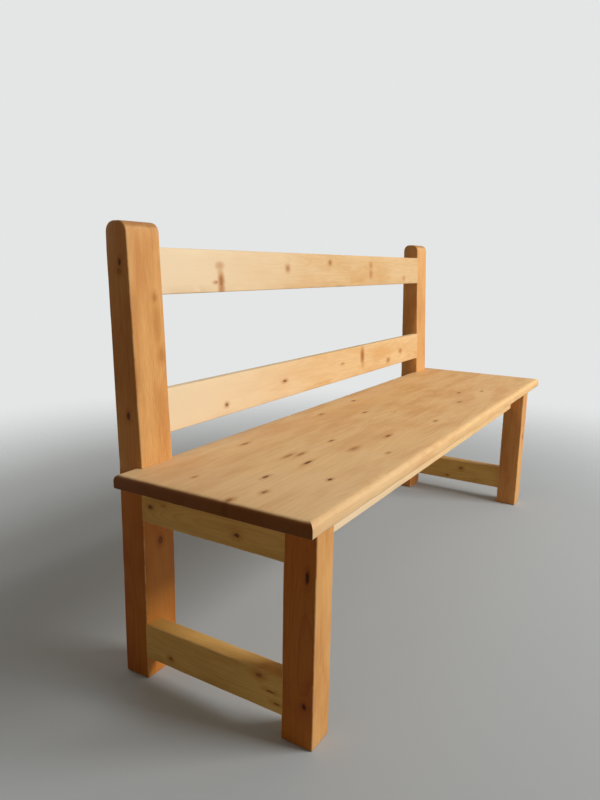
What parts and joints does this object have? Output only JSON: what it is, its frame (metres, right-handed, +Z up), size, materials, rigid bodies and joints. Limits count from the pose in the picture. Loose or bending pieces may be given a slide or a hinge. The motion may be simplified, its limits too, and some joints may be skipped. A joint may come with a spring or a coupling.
{
  "type": "monks bench",
  "caption": "Long solid pine bench with an open leaning back of two rails, a thick round-edged seat notched round the back posts, square legs and end stretchers.",
  "frame": {"origin": "on the floor, under the middle of the whole bench", "axes": "+X along the bench, +Y from the front of the seat to the back, +Z up"},
  "size_m": [1.62, 0.4854, 0.912],
  "materials": {
    "leg_wood": "waxed redwood pine, satin",
    "end_rail_wood": "waxed pine, satin",
    "pale_wood": "waxed pale pine, satin",
    "seat_wood": "waxed pine, satin, worn smooth",
    "raw_wood": "bare sawn pine",
    "screw_steel": "bright zinc"
  },
  "bodies": {
    "root": {"front_leg_left": "leg_wood", "front_leg_right": "leg_wood", "back_post_left": "leg_wood", "back_post_right": "leg_wood", "end_rail_left": "end_rail_wood", "end_rail_right": "end_rail_wood", "end_stretcher_left": "end_rail_wood", "end_stretcher_right": "end_rail_wood", "front_apron": "pale_wood", "back_apron": "pale_wood", "back_rail_low": "pale_wood", "back_rail_top": "pale_wood", "seat_board_front": "seat_wood", "seat_board_middle": "seat_wood", "seat_board_back": "seat_wood", "seat_bearer": "raw_wood", "seat_button_front_1": "raw_wood", "seat_button_front_2": "raw_wood", "seat_button_front_3": "raw_wood", "seat_button_front_4": "raw_wood", "seat_button_back_1": "raw_wood", "seat_button_back_2": "raw_wood", "seat_button_back_3": "raw_wood", "seat_button_back_4": "raw_wood", "seat_button_end_left": "raw_wood", "seat_button_end_right": "raw_wood", "seat_button_screw_front_1": "screw_steel", "seat_button_screw_front_2": "screw_steel", "seat_button_screw_front_3": "screw_steel", "seat_button_screw_front_4": "screw_steel", "seat_button_screw_back_1": "screw_steel", "seat_button_screw_back_2": "screw_steel", "seat_button_screw_back_3": "screw_steel", "seat_button_screw_back_4": "screw_steel", "seat_button_screw_end_left": "screw_steel", "seat_button_screw_end_right": "screw_steel"}
  },
  "joints": []
}
